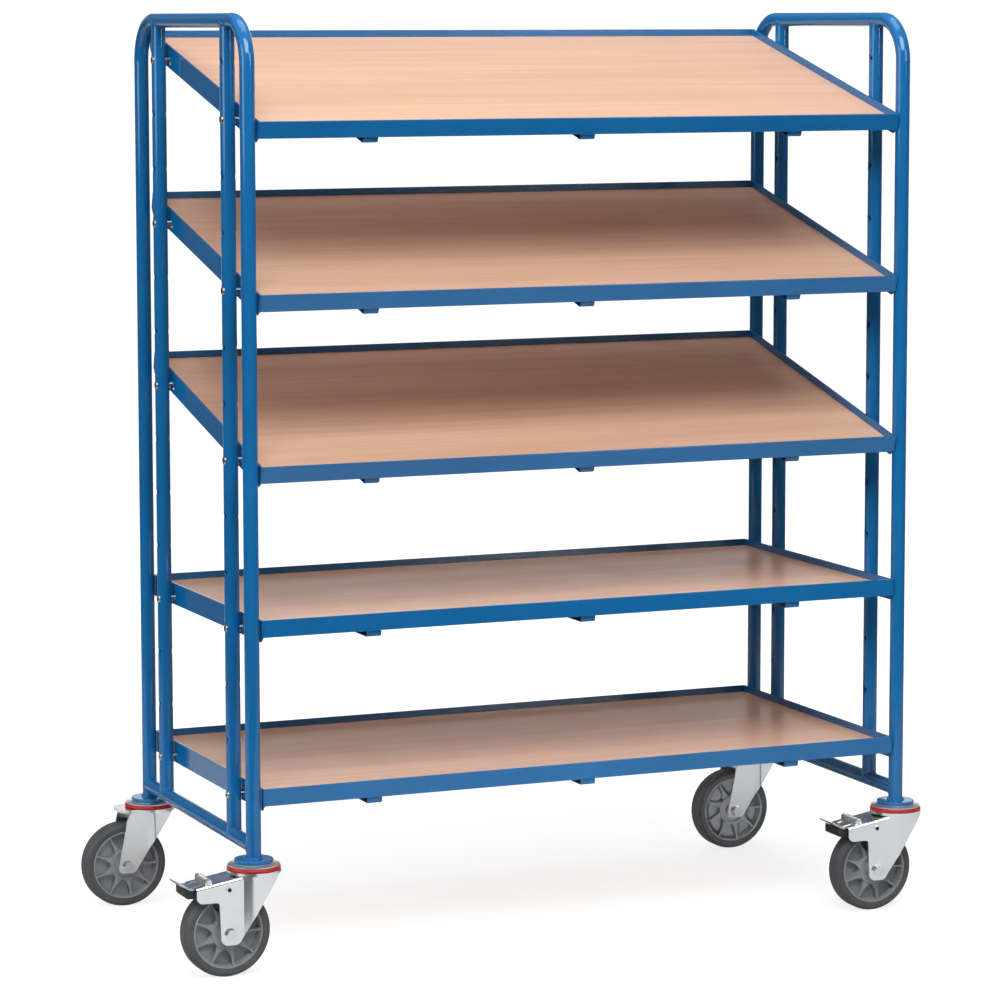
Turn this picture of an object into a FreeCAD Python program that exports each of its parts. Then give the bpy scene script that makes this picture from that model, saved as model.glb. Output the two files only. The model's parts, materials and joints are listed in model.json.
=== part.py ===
import FreeCAD, Part
import math
import os
import Sketcher
from FreeCAD import Placement, Rotation, Vector

# Euro container trolley: two tube end frames, five tray shelves (the upper
# three sloping to the front, the lower two level) and four swivel castors,
# the front two with a pedal brake.  Millimetres, +Z up, -Y is the front,
# +X to the right when facing the front.

doc = FreeCAD.newDocument("euro_container_trolley")

# ---------------------------------------------------------------- dimensions
SIZES = [
    # frame
    ("tube_dia", 26.9), ("tube_wall", 2.3), ("frame_half", 643.0),
    ("leg_half", 296.0), ("upright_half", 192.0), ("hoop_top", 1686.0),
    ("hoop_bend", 76.0), ("leg_foot", 205.4), ("rail_axis", 227.0),
    ("weld_gap", 0.2), ("shift_x", 49.68),
    # row of holes in the uprights
    ("hole_low", 300.0), ("hole_pitch", 100.0), ("hole_count", 14.0),
    ("hole_dia", 8.5), ("seat_dist", 10.5), ("seat_dia", 16.8),
    ("seat_boss", 21.0), ("seat_floor", 8.1),
    # shelf tray, measured from its front bolt
    ("plate_out", 628.0), ("plate_thick", 3.5), ("tray_front", 116.0),
    ("tray_rear", 500.0), ("rim_up", 29.0), ("plate_low", 11.0),
    ("angle_high", 31.0), ("angle_deep", 30.0), ("angle_thick", 3.0),
    ("plate_cham", 10.0), ("slot_from", 377.0), ("slot_to", 400.0),
    ("slot_dia", 8.8), ("tilt_rise", 100.0),
    ("board_top", 16.0), ("board_low", 1.2), ("board_gap", 0.5),
    ("bearer_wide", 28.0), ("bearer_low", 13.0), ("bearer_thick", 2.0),
    ("bearer_step", 416.7), ("bearer_fold", 3.5),
    # shelf fasteners
    ("bolt_dia", 8.0), ("bolt_head_dia", 16.0), ("bolt_head_high", 3.2),
    ("bolt_end", 27.0), ("bolt_socket", 5.0), ("nut_flat", 13.0),
    ("nut_high", 6.5), ("spacer_dia", 15.5), ("spacer_bore", 8.4),
    # castor
    ("disc_dia", 70.0), ("disc_thick", 5.0), ("disc_low", 200.2),
    ("king_dia", 12.0), ("king_clear", 0.05), ("plug_high", 30.0),
    ("wheel_dia", 160.0), ("wheel_wide", 40.0), ("trail", 54.5),
    ("tyre_in", 64.6), ("tyre_round", 8.0), ("rim_dia", 129.0),
    ("rim_wide", 37.0), ("hub_long", 60.6), ("hub_ring_dia", 60.0),
    ("sleeve_dia", 15.0), ("sleeve_clear", 0.05), ("axle_dia", 12.0),
    ("spoke_count", 9.0), ("fork_in", 62.0), ("fork_thick", 3.0),
    ("fork_front", 79.0), ("fork_nose", 48.0), ("arm_back", 117.5),
    ("arm_high", 167.0), ("arm_slope", 0.165), ("arm_bend", 4.5),
    ("crown_top", 187.2), ("crown_thick", 5.5), ("crown_dia", 96.4),
    ("axle_flat", 19.0), ("axle_head", 7.5), ("axle_nut", 9.0),
    # brake
    ("pin_dia", 6.0), ("pin_clear", 0.05), ("pin_back", 94.0),
    ("pin_high", 175.4), ("pedal_wide", 52.0), ("pin_head", 8.4),
    ("barrel_dia", 10.0),
]
sheet = doc.addObject("Spreadsheet::Sheet", "Params")
for row, (word, number) in enumerate(SIZES, start=1):
    sheet.set("A%d" % row, word)
    sheet.set("B%d" % row, "%g" % number)
    sheet.setAlias("B%d" % row, word)
doc.recompute()


class Size:
    """A length with the sheet formula that it comes from."""

    def __init__(self, number, formula):
        self.n = float(number)
        self.e = formula

    @staticmethod
    def of(other):
        return other if isinstance(other, Size) else Size(other, "%.6f" % other)

    def __add__(self, other):
        other = Size.of(other)
        return Size(self.n + other.n, "(%s + %s)" % (self.e, other.e))

    def __sub__(self, other):
        other = Size.of(other)
        return Size(self.n - other.n, "(%s - %s)" % (self.e, other.e))

    def __rsub__(self, other):
        return Size.of(other) - self

    def __mul__(self, other):
        other = Size.of(other)
        return Size(self.n * other.n, "(%s * %s)" % (self.e, other.e))

    def __truediv__(self, other):
        other = Size.of(other)
        return Size(self.n / other.n, "(%s / %s)" % (self.e, other.e))

    def __neg__(self):
        return Size(-self.n, "(0 - %s)" % self.e)

    __radd__ = __add__
    __rmul__ = __mul__


D = {word: Size(sheet.get(word), "Params." + word) for word, _ in SIZES}


def num(q):
    return q.n if isinstance(q, Size) else float(q)


def bind(obj, prop, q):
    if isinstance(q, Size):
        obj.setExpression(prop, q.e)
    elif "." not in prop:
        setattr(obj, prop, q)


def seat(obj, x, y, z, turn=None):
    obj.Placement = Placement(Vector(num(x), num(y), num(z)), turn or Rotation())
    for axis, q in zip("xyz", (x, y, z)):
        if isinstance(q, Size):
            obj.setExpression("Placement.Base." + axis, q.e)
    return obj


TO_X = Rotation(Vector(0, 1, 0), 90)      # turns +Z onto +X
TO_MX = Rotation(Vector(0, 1, 0), -90)    # turns +Z onto -X
TO_Y = Rotation(Vector(1, 0, 0), -90)     # turns +Z onto +Y


def box(name, x0, y0, z0, x1, y1, z1):
    b = doc.addObject("Part::Box", name)
    for prop, lo, hi in (("Length", x0, x1), ("Width", y0, y1), ("Height", z0, z1)):
        size = Size.of(hi) - Size.of(lo)
        setattr(b, prop, size.n)
        b.setExpression(prop, size.e)
    return seat(b, x0, y0, z0)


def cyl(name, r, h, x=0, y=0, z=0, turn=None):
    c = doc.addObject("Part::Cylinder", name)
    for prop, q in (("Radius", r), ("Height", h)):
        q = Size.of(q)
        setattr(c, prop, q.n)
        c.setExpression(prop, q.e)
    return seat(c, x, y, z, turn)


def hexagon(name, flat, h, x=0, y=0, z=0, turn=None):
    p = doc.addObject("Part::Prism", name)
    p.Polygon = 6
    corner = Size.of(flat) * (1 / math.sqrt(3))
    p.Circumradius = corner.n
    p.setExpression("Circumradius", corner.e)
    h = Size.of(h)
    p.Height = h.n
    p.setExpression("Height", h.e)
    return seat(p, x, y, z, turn)


def group(name, objs):
    g = doc.addObject("Part::Compound", name)
    g.Links = objs
    return g


def cut(name, base, tools):
    c = doc.addObject("Part::Cut", name)
    c.Base = base
    c.Tool = tools[0] if len(tools) == 1 else group(name + "_tools", tools)
    return c


def fuse(name, objs):
    f = doc.addObject("Part::MultiFuse", name)
    f.Shapes = objs
    f.Refine = True
    return f


def common(name, objs):
    f = doc.addObject("Part::MultiCommon", name)
    f.Shapes = objs
    return f


def rounded(name, base, radius, pick):
    """Rounds every edge that pick(edge) accepts."""
    doc.recompute()
    f = doc.addObject("Part::Fillet", name)
    f.Base = base
    f.Edges = [(i, num(radius), num(radius)) for i, e in enumerate(base.Shape.Edges, start=1) if pick(e)]
    return f


def plane(body, role):
    return [f for f in body.Origin.OriginFeatures if f.Role == role][0]


def sketch(body, name, role, offset=None):
    s = body.newObject("Sketcher::SketchObject", name)
    s.AttachmentSupport = [(plane(body, role), "")]
    s.MapMode = "FlatFace"
    if offset is not None:
        s.AttachmentOffset = Placement(Vector(0, 0, num(offset)), Rotation())
        if isinstance(offset, Size):
            s.setExpression("AttachmentOffset.Base.z", offset.e)
    return s


def pin_point(s, geo, pos, x, y):
    for kind, q, axis in (("DistanceX", x, -2), ("DistanceY", y, -1)):
        if abs(num(q)) < 1e-9:
            s.addConstraint(Sketcher.Constraint("PointOnObject", geo, pos, axis))
            continue
        i = s.addConstraint(Sketcher.Constraint(kind, -1, 1, geo, pos, num(q)))
        if isinstance(q, Size):
            s.setExpression("Constraints[%d]" % i, q.e)


def ring(s, x, y, r):
    g = s.addGeometry(Part.Circle(Vector(num(x), num(y), 0), Vector(0, 0, 1), num(r)))
    pin_point(s, g, 3, x, y)
    i = s.addConstraint(Sketcher.Constraint("Radius", g, num(r)))
    if isinstance(r, Size):
        s.setExpression("Constraints[%d]" % i, r.e)


def outline(s, points):
    """Closed straight-sided outline with every corner driven."""
    count = len(points)
    first = s.GeometryCount
    for i in range(count):
        a, b = points[i], points[(i + 1) % count]
        s.addGeometry(Part.LineSegment(Vector(num(a[0]), num(a[1]), 0), Vector(num(b[0]), num(b[1]), 0)))
    for i in range(count):
        s.addConstraint(Sketcher.Constraint("Coincident", first + i, 2, first + (i + 1) % count, 1))
    for i in range(count):
        pin_point(s, first + i, 1, *points[i])


def soft_outline(s, points):
    """Closed outline whose corners carry a radius: (x, y, radius)."""
    count = len(points)
    heads, tails, arcs = [], [], []
    for i in range(count):
        px, py, r = [num(v) for v in points[i]]
        p = Vector(px, py, 0)
        a = Vector(num(points[i - 1][0]), num(points[i - 1][1]), 0) - p
        b = Vector(num(points[(i + 1) % count][0]), num(points[(i + 1) % count][1]), 0) - p
        a.normalize()
        b.normalize()
        if r <= 0:
            heads.append(p)
            tails.append(p)
            arcs.append(None)
            continue
        half = math.acos(max(-1.0, min(1.0, a.dot(b)))) / 2
        run = r / math.tan(half)
        mid = a + b
        mid.normalize()
        centre = p + mid * (r / math.sin(half))
        start, end = p + a * run, p + b * run
        heads.append(start)
        tails.append(end)
        arcs.append(Part.Arc(start, centre - mid * r, end))
    for i in range(count):
        if arcs[i] is not None:
            s.addGeometry(arcs[i])
        nxt = (i + 1) % count
        if (heads[nxt] - tails[i]).Length > 1e-6:
            s.addGeometry(Part.LineSegment(tails[i], heads[nxt]))


def pad(body, s, length, name, both=False, back=False):
    p = body.newObject("PartDesign::Pad", name)
    p.Profile = s
    length = Size.of(length)
    p.Length = length.n
    p.setExpression("Length", length.e)
    if both:
        p.SideType = "Symmetric"
    p.Reversed = back
    body.Tip = p
    return p


def pocket(body, s, length, name, both=True, back=False):
    p = body.newObject("PartDesign::Pocket", name)
    p.Profile = s
    length = Size.of(length)
    p.Length = length.n
    p.setExpression("Length", length.e)
    if both:
        p.SideType = "Symmetric"
    p.Reversed = back
    body.Tip = p
    return p


def revolve(body, s, name):
    r = body.newObject("PartDesign::Revolution", name)
    r.Profile = s
    r.ReferenceAxis = (s, ["V_Axis"])
    r.Angle = 360
    body.Tip = r
    return r


def body(name):
    return doc.addObject("PartDesign::Body", name)


# ------------------------------------------------------------------ end frame
tube_r = D["tube_dia"] / 2
bore_r = tube_r - D["tube_wall"]
top_axis = D["hoop_top"] - tube_r

# bent hoop: two legs and the top tube in one length of pipe
hoop = body("hoop_form")
path = sketch(hoop, "hoop_line", "YZ_Plane")
lo, hi, wide, bend = D["leg_foot"].n, top_axis.n, D["leg_half"].n, D["hoop_bend"].n
k = bend * (1 - math.sqrt(0.5))
path.addGeometry(Part.LineSegment(Vector(-wide, lo, 0), Vector(-wide, hi - bend, 0)))
path.addGeometry(Part.Arc(Vector(-wide, hi - bend, 0), Vector(-wide + k, hi - k, 0), Vector(-wide + bend, hi, 0)))
path.addGeometry(Part.LineSegment(Vector(-wide + bend, hi, 0), Vector(wide - bend, hi, 0)))
path.addGeometry(Part.Arc(Vector(wide - bend, hi, 0), Vector(wide - k, hi - k, 0), Vector(wide, hi - bend, 0)))
path.addGeometry(Part.LineSegment(Vector(wide, hi - bend, 0), Vector(wide, lo, 0)))
section = sketch(hoop, "hoop_section", "XY_Plane", D["leg_foot"])
ring(section, 0, -D["leg_half"], tube_r)
ring(section, 0, -D["leg_half"], bore_r)
doc.recompute()
pipe = hoop.newObject("PartDesign::AdditivePipe", "hoop_pipe")
pipe.Profile = section
pipe.Spine = (path, ["Edge1", "Edge2", "Edge3", "Edge4", "Edge5"])
hoop.Tip = pipe

# upright with a row of holes, each on a flat pressed into the tube
stand = top_axis - D["rail_axis"]
holes = range(int(D["hole_count"].n))
up_out = cyl("upright_out", tube_r, stand, 0, 0, D["rail_axis"])
up_in = cyl("upright_in", bore_r, stand, 0, 0, D["rail_axis"])
bosses, seats, bolts_through = [], [], []
for i in holes:
    z = D["hole_low"] + D["hole_pitch"] * i
    for tag, turn, sign in (("r", TO_X, 1), ("l", TO_MX, -1)):
        bosses.append(cyl("boss_%s_%d" % (tag, i), D["seat_boss"] / 2, 8, D["seat_floor"] * sign, 0, z, turn))
        seats.append(cyl("seat_%s_%d" % (tag, i), D["seat_dia"] / 2, 8, D["seat_dist"] * sign, 0, z, turn))
    bolts_through.append(cyl("bolt_way_%d" % i, D["hole_dia"] / 2, 40, -20, 0, z, TO_X))
up_void = cut("upright_void", up_in, bosses)
saddle_top = cyl("saddle_top", tube_r + D["weld_gap"], 80, 0, -40, top_axis, TO_Y)
saddle_low = cyl("saddle_low", tube_r + D["weld_gap"], 80, 0, -40, D["rail_axis"], TO_Y)
up_tube = cut("upright_tube", up_out, [up_void])
up_seated = cut("upright_seated", up_tube, seats)
up_drilled = cut("upright_drilled", up_seated, bolts_through)
upright = cut("upright_form", up_drilled, [group("saddles", [saddle_top, saddle_low])])

# bottom rail between the legs
span = D["leg_half"] * 2
rail_out = cyl("rail_out", tube_r, span, 0, -D["leg_half"], D["rail_axis"], TO_Y)
rail_in = cyl("rail_in", bore_r, span, 0, -D["leg_half"], D["rail_axis"], TO_Y)
leg_a = cyl("rail_leg_a", tube_r + D["weld_gap"], 80, 0, -D["leg_half"], D["rail_axis"] - 40)
leg_b = cyl("rail_leg_b", tube_r + D["weld_gap"], 80, 0, D["leg_half"], D["rail_axis"] - 40)
rail_tube = cut("rail_tube", rail_out, [rail_in])
rail = cut("rail_form", rail_tube, [leg_a, leg_b])

# castor mounting disc and the threaded plug inside each leg
disc_block = cyl("disc_block", D["disc_dia"] / 2, D["disc_thick"], 0, 0, D["disc_low"])
disc_soft = rounded("disc_soft", disc_block, 1.2, lambda e: isinstance(e.Curve, Part.Circle))
disc_hole = cyl("disc_hole", D["king_dia"] / 2 + 0.3, 20, 0, 0, D["disc_low"] - 5)
disc = cut("disc_form", disc_soft, [disc_hole])
plug_block = cyl("plug_block", bore_r - 0.1, D["plug_high"], 0, 0, D["leg_foot"])
plug_hole = cyl("plug_hole", D["king_dia"] / 2 + 0.1, D["plug_high"] + 2, 0, 0, D["leg_foot"] - 1)
plug = cut("plug_form", plug_block, [plug_hole])

# -------------------------------------------------------------------- shelves
# local frame of a shelf: x to the right, y to the rear from the front bolt,
# z up from that bolt
plate_in = D["plate_out"] - D["plate_thick"]
angle_low = D["rim_up"] - D["angle_high"]
angle_end = plate_in - 0.1


def side_plate(name):
    b = body(name)
    s = sketch(b, name + "_outline", "YZ_Plane")
    c = D["plate_cham"]
    f, r, t, l = -D["tray_front"], D["tray_rear"], D["rim_up"], -D["plate_low"]
    outline(s, [(f, t), (f, l + c), (f + c, l), (r - c, l), (r, l + c), (r, t)])
    pad(b, s, D["plate_thick"], name + "_pad")
    s = sketch(b, name + "_holes", "YZ_Plane")
    ring(s, 0, 0, D["hole_dia"] / 2)
    pocket(b, s, 30, name + "_bore")
    s = sketch(b, name + "_slot", "YZ_Plane")
    a, z, h = D["slot_from"].n, D["slot_to"].n, D["slot_dia"].n / 2
    s.addGeometry(Part.LineSegment(Vector(a, h, 0), Vector(z, h, 0)))
    s.addGeometry(Part.Arc(Vector(z, h, 0), Vector(z + h, 0, 0), Vector(z, -h, 0)))
    s.addGeometry(Part.LineSegment(Vector(z, -h, 0), Vector(a, -h, 0)))
    s.addGeometry(Part.Arc(Vector(a, -h, 0), Vector(a - h, 0, 0), Vector(a, h, 0)))
    pocket(b, s, 30, name + "_slotcut")
    return b


plate = side_plate("side_plate_form")
doc.recompute()
plate_soft = rounded("side_plate_soft", plate, 1.0, lambda e: abs(e.Length - D["plate_thick"].n) > 0.01 and isinstance(e.Curve, Part.Line))
plate_l = group("side_plate_left", [plate_soft])
seat(plate_l, -D["plate_out"], 0, 0)
plate_r = group("side_plate_right", [plate_soft])
seat(plate_r, plate_in, 0, 0)


def angle_rail(name, face, way):
    """Rolled angle: upright leg at face, flat leg under the board."""
    b = body(name)
    s = sketch(b, name + "_section", "YZ_Plane")
    t, low, top = D["angle_thick"], angle_low, D["rim_up"]
    if way > 0:
        inner, toe = face + t, face + D["angle_deep"]
    else:
        inner, toe = face - t, face - D["angle_deep"]
    outline(s, [(face, low), (toe, low), (toe, low + t), (inner, low + t), (inner, top), (face, top)])
    bar = pad(b, s, angle_end * 2, name + "_pad", both=True)
    doc.recompute()
    edge = b.newObject("PartDesign::Fillet", name + "_round")
    picks = []
    for i, e in enumerate(bar.Shape.Edges, start=1):
        if e.Length < 500:
            continue
        y, z = e.Vertexes[0].Point.y, e.Vertexes[0].Point.z
        if abs(y - num(face)) < 0.01 or (abs(z - num(top)) < 0.01):
            picks.append("Edge%d" % i)
    edge.Base = (bar, picks)
    edge.Radius = 1.0
    b.Tip = edge
    return b


front_angle = angle_rail("front_angle_form", -D["tray_front"], 1)
rear_angle = angle_rail("rear_angle_form", D["tray_rear"], -1)
rim_set = [plate_l, plate_r, front_angle, rear_angle]

# board, let in over the angle legs and relieved over the shelf nuts
bx = plate_in - D["board_gap"]
bf = -D["tray_front"] + D["angle_thick"] + D["board_gap"]
br = D["tray_rear"] - D["angle_thick"] - D["board_gap"]
deck = box("deck_block", -bx, bf, D["board_low"], bx, br, D["board_top"])
reliefs = []
for tag, x0, x1 in (("l", -bx - 1, -bx + 9), ("r", bx - 9, bx + 1)):
    reliefs.append(box("relief_f" + tag, x0, -11, 0, x1, 11, 8.8))
    reliefs.append(box("relief_r" + tag, x0, D["slot_from"] - 8, 0, x1, D["slot_to"] + 10, 8.8))
board = cut("board_form", deck, reliefs)

# bearer: folded channel under the board, open to the left, ends closed
bw = D["bearer_wide"] / 2
b0 = -D["tray_front"] + D["angle_thick"] + 0.4
b1 = D["tray_rear"] - D["angle_thick"] - 0.4
bz = -D["bearer_low"]
bt = D["bearer_thick"]
btop = angle_low + D["angle_thick"] - 0.1
chan_block = box("bearer_block", -bw, b0, bz, bw, b1, btop)


def folded(e):
    p = e.CenterOfMass
    if abs(p.z - bz.n) > 0.01:
        return False
    return abs(p.x - bw.n) < 0.01 or abs(p.y - b0.n) < 0.01 or abs(p.y - b1.n) < 0.01


chan_soft = rounded("bearer_soft", chan_block, D["bearer_fold"], folded)
chan_inside = box("bearer_inside", -bw - 2, b0 + bt, bz + bt, bw - bt, b1 - bt, btop - bt)
notch_f = box("bearer_notch_f", -bw - 2, b0 - 2, angle_low - 0.2, bw + 2, -D["tray_front"] + D["angle_deep"] + 0.5, btop + 5)
notch_r = box("bearer_notch_r", -bw - 2, D["tray_rear"] - D["angle_deep"] - 0.5, angle_low - 0.2, bw + 2, b1 + 2, btop + 5)
bearer = cut("bearer_form", chan_soft, [group("bearer_cuts", [chan_inside]), notch_f, notch_r])
bearer_set = []
for tag, x in (("a", -D["bearer_step"]), ("b", Size.of(0)), ("c", D["bearer_step"])):
    g = group("bearer_" + tag, [bearer])
    bearer_set.append(seat(g, x, 0, 0))

# shelf bolt (low round head outside), spacer and nut; the axis runs along +X
# from the centre line of the upright towards the shelf
head_block = cyl("bolt_head", D["bolt_head_dia"] / 2, D["bolt_head_high"], -D["seat_dist"] - 0.05 - D["bolt_head_high"], 0, 0, TO_X)
head_soft = rounded("bolt_head_soft", head_block, 2.2, lambda e: isinstance(e.Curve, Part.Circle) and e.CenterOfMass.x < -D["seat_dist"].n - 1)
shank = cyl("bolt_shank", D["bolt_dia"] / 2, D["bolt_end"] + D["seat_dist"] + 1, -D["seat_dist"] - 1, 0, 0, TO_X)
bolt_solid = fuse("bolt_solid", [head_soft, shank])
bolt_hex = hexagon("bolt_hex", D["bolt_socket"], 2.0, -D["seat_dist"] - D["bolt_head_high"] - 0.1, 0, 0, TO_X)
bolt = cut("bolt_form", bolt_solid, [bolt_hex])
plate_near = D["frame_half"] - D["plate_out"]
spacer_block = cyl("spacer_block", D["spacer_dia"] / 2, plate_near - D["seat_dist"] - 0.2, D["seat_dist"] + 0.1, 0, 0, TO_X)
spacer_hole = cyl("spacer_hole", D["spacer_bore"] / 2, 20, 5, 0, 0, TO_X)
spacer = cut("spacer_form", spacer_block, [spacer_hole])
nut_block = hexagon("nut_block", D["nut_flat"], D["nut_high"], plate_near + D["plate_thick"] + 0.1, 0, 0, TO_X)
nut_round = cyl("nut_round", D["nut_flat"] / 2 * 1.1, D["nut_high"] + 2, plate_near + D["plate_thick"] - 1, 0, 0, TO_X)
nut_trim = common("nut_trim", [nut_block, nut_round])
nut_hole = cyl("nut_hole", D["bolt_dia"] / 2 + 0.1, 30, plate_near, 0, 0, TO_X)
nut = cut("nut_form", nut_trim, [nut_hole])

# -------------------------------------------------------------------- castors
# local frame of a castor: z on the swivel axis from the floor, the wheel
# trails to -x and turns about y
wheel_r = D["wheel_dia"] / 2
axle_z = wheel_r

head = body("head_plate_form")
s = sketch(head, "head_plate_section", "XZ_Plane")
kr = D["king_dia"] / 2 + 0.15
outline(s, [(kr, 197.2), (31, 197.2), (36, 194.6), (45.2, 193.7), (46.2, 194.6), (46.2, 196.2), (37.5, 197.6), (33, 200.0), (kr, 200.0)])
revolve(head, s, "head_plate_turn")

seal = body("seal_ring_form")
s = sketch(seal, "seal_ring_section", "XZ_Plane")
soft_outline(s, [(39.5, 187.6, 0.8), (47.8, 187.6, 2.2), (47.8, 193.3, 2.2), (39.5, 193.3, 0.8)])
revolve(seal, s, "seal_ring_turn")

race_block = cyl("race_block", 30.4, 9.2, 0, 0, 187.7)
race_hole = cyl("race_hole", 20, 20, 0, 0, 180)
race = cut("race_form", race_block, [race_hole])

king_head = hexagon("king_head", 19, 7.5, 0, 0, 172.0)
king_shank = cyl("king_shank", D["king_dia"] / 2, 54, 0, 0, 179.0)
king_neck = cyl("king_neck", 11, 1.6, 0, 0, 179.4)
king = fuse("king_form", [king_head, king_neck, king_shank])

fork_out = D["fork_in"] + D["fork_thick"] * 2
crown_low = D["crown_top"] - D["crown_thick"]
ax = -D["trail"]


inner = D["fork_in"]
half_out = fork_out / 2


def side_block(name, points, wide):
    """Block of one side outline, as wide as given, about the middle plane."""
    b = body(name)
    s = sketch(b, name + "_outline", "XZ_Plane")
    soft_outline(s, points)
    pad(b, s, wide, name + "_pad", both=True)
    return b


def crown(name, back=None):
    """Round crown plate with the king bolt hole, and a tail over the wheel."""
    b = body(name)
    s = sketch(b, name + "_disc", "XY_Plane", crown_low)
    ring(s, 0, 0, D["crown_dia"] / 2)
    pad(b, s, D["crown_thick"], name + "_disc_pad")
    if back:
        s = sketch(b, name + "_tail", "XY_Plane", crown_low)
        soft_outline(s, [(20, -33, 0), (20, 33, 0), (0, 33, 0), (-back, 33, 22), (-back, -33, 22), (0, -33, 0)])
        pad(b, s, D["crown_thick"], name + "_tail_pad")
    doc.recompute()
    s = sketch(b, name + "_king", "XY_Plane", crown_low)
    ring(s, 0, 0, D["king_dia"] / 2 + D["king_clear"])
    pocket(b, s, 60, name + "_king_hole")
    return b


def nose(name, foot_x, foot_z, rise, step_a, step_b, round_a, round_b):
    """Pressed front of a fork: a wall that steps outwards from the cheeks and
    runs round under the crown, cut to the slope of the cheeks."""
    hf, xn, t = D["fork_front"].n / 2, D["fork_nose"].n, D["fork_thick"].n
    b = body(name + "_wall")
    s = sketch(b, name + "_plan", "XY_Plane", 60)
    soft_outline(s, [(step_a, -32.9, 0), (step_b, -hf, round_b), (xn, -hf, 29), (xn, hf, 29), (step_b, hf, round_b), (step_a, 32.9, 0)])
    pad(b, s, 183.9 - 60, name + "_plan_pad")
    c = body(name + "_room")
    s = sketch(c, name + "_room_plan", "XY_Plane", 50)
    soft_outline(s, [(step_a - 1, -31.2, 0), (step_a + 3.6, -31.2, round_a), (step_b - 1.1, t - hf, round_b - 2), (xn - t, t - hf, 26), (xn - t, hf - t, 26), (step_b - 1.1, hf - t, round_b - 2), (step_a + 3.6, 31.2, round_a), (step_a - 1, 31.2, 0)])
    pad(c, s, 140, name + "_room_pad")
    e = body(name + "_slope")
    s = sketch(e, name + "_slope_line", "XZ_Plane")
    outline(s, [(foot_x - 0.3, foot_z), (60, foot_z + (60.3 - foot_x) * rise), (90, 100), (90, 20), (foot_x - 0.3, 20)])
    pad(e, s, 140, name + "_slope_pad", both=True)
    return cut(name, b, [c, e])


wheel_sweep = cyl("wheel_sweep", wheel_r + 4, 44, ax, -22, axle_z, TO_Y)
axle_way = cyl("axle_way", D["axle_dia"] / 2 + 0.15, 200, ax, -100, axle_z, TO_Y)

# plain fork of the rear castors
rise = 1.556
plain_pts = [(-76.0, 67.0, 11), (-55.7, 169.0, 3), (-46.5, 183.0, 1), (-14.0, 183.0, 0), (-14.0, 67.0 + 27.5 * rise, 0), (-41.5, 67.0, 11)]
plain_cheeks = side_block("plain_cheeks", plain_pts, fork_out)
plain_cut = cut("plain_cheeks_open", plain_cheeks, [box("fork_gap_plain", -200, -inner / 2, 0, 60, inner / 2, 220)])
plain_fuse = fuse("plain_fork_raw", [plain_cut, crown("plain_crown", 68.0), nose("plain_nose", -41.5, 67.0, rise, -18, -3, 10, 16)])
crease = [box("crease_f", -39.2, -half_out - 1.0, 92, -38.0, -half_out + 0.6, 176), box("crease_b", -39.2, half_out - 0.6, 92, -38.0, half_out + 1.0, 176)]
fork_plain = cut("plain_fork_form", plain_fuse, [wheel_sweep, axle_way] + crease)

# braked fork of the front castors: a folded channel whose back slopes down
# towards the pedal, with deep cheeks
rise = 1.6
tb, th, tk = -D["arm_back"].n, D["arm_high"].n, D["arm_slope"].n


def arm_top(x):
    return th + (x - tb) * tk


fold = doc.addObject("Sketcher::SketchObject", "arm_section")
fold.Placement = Placement(Vector(-16.0, 0, 0), Rotation(Vector(1, 1, 1), 120))
ho, hi_, ft, fr = half_out.n, inner.n / 2, D["fork_thick"].n, D["arm_bend"].n
zt = arm_top(-16.0)
soft_outline(fold, [(-ho, zt - 150, 0), (-ho, zt, fr), (ho, zt, fr), (ho, zt - 150, 0), (hi_, zt - 150, 0), (hi_, zt - ft - 0.07, fr - ft), (-hi_, zt - ft - 0.07, fr - ft), (-hi_, zt - 150, 0)])
arm = doc.addObject("Part::Extrusion", "arm_channel")
arm.Base = fold
arm.DirMode = "Custom"
arm.Dir = Vector(-1, 0, -tk)
arm.LengthFwd = 110 * math.sqrt(1 + tk * tk)
arm.Solid = True
brake_pts = [(-72.3, 61.0, 13), (-75.6, 139.0, 6), (tb + 0.5, 139.0, 12), (tb, 190.0, 0), (-25.0, 190.0, 0), (-25.0, 61.0 + 15.0 * rise, 0), (-40.0, 61.0, 13)]
brake_cheeks = common("brake_cheeks", [arm, side_block("brake_side", brake_pts, 100)])
lug_b = side_block("brake_lugs", [(-87.6, arm_top(-87.6) - 1.6, 0), (-100.4, arm_top(-100.4) - 1.6, 0), (-99.6, 180.8, 5.5), (-88.4, 180.8, 5.5)], D["pedal_wide"] + 6.6)
lug_gap = box("brake_lug_slot", -110, -D["pedal_wide"] / 2 - 0.7, 150, -60, D["pedal_wide"] / 2 + 0.7, 200)
lugs = cut("brake_lug_pair", lug_b, [lug_gap, cyl("brake_lug_bore", D["pin_dia"] / 2 + D["pin_clear"], 120, -D["pin_back"], -60, D["pin_high"], TO_Y)])
eyes = []
for tag, y0 in (("f", -half_out - 1.0), ("b", half_out - 0.5)):
    eyes.append(cyl("eye_" + tag, 6.2, 1.5, -57.0, y0, 160.0, TO_Y))
eye_way = cyl("eye_way", 3.8, 100, -57.0, -50, 160.0, TO_Y)
window = box("pedal_window", -140, -D["pedal_wide"] / 2 - 1.2, 150, -85.5, D["pedal_wide"] / 2 + 1.2, 173.5)
brake_open = cut("brake_cheeks_open", brake_cheeks, [window])
brake_fuse = fuse("brake_fork_raw", [brake_open, crown("brake_crown"), lugs, nose("brake_nose", -40.0, 61.0, rise, -34, -12, 14, 34)] + eyes)
fork_brake = cut("brake_fork_form", brake_fuse, [wheel_sweep, eye_way, axle_way])

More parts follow.
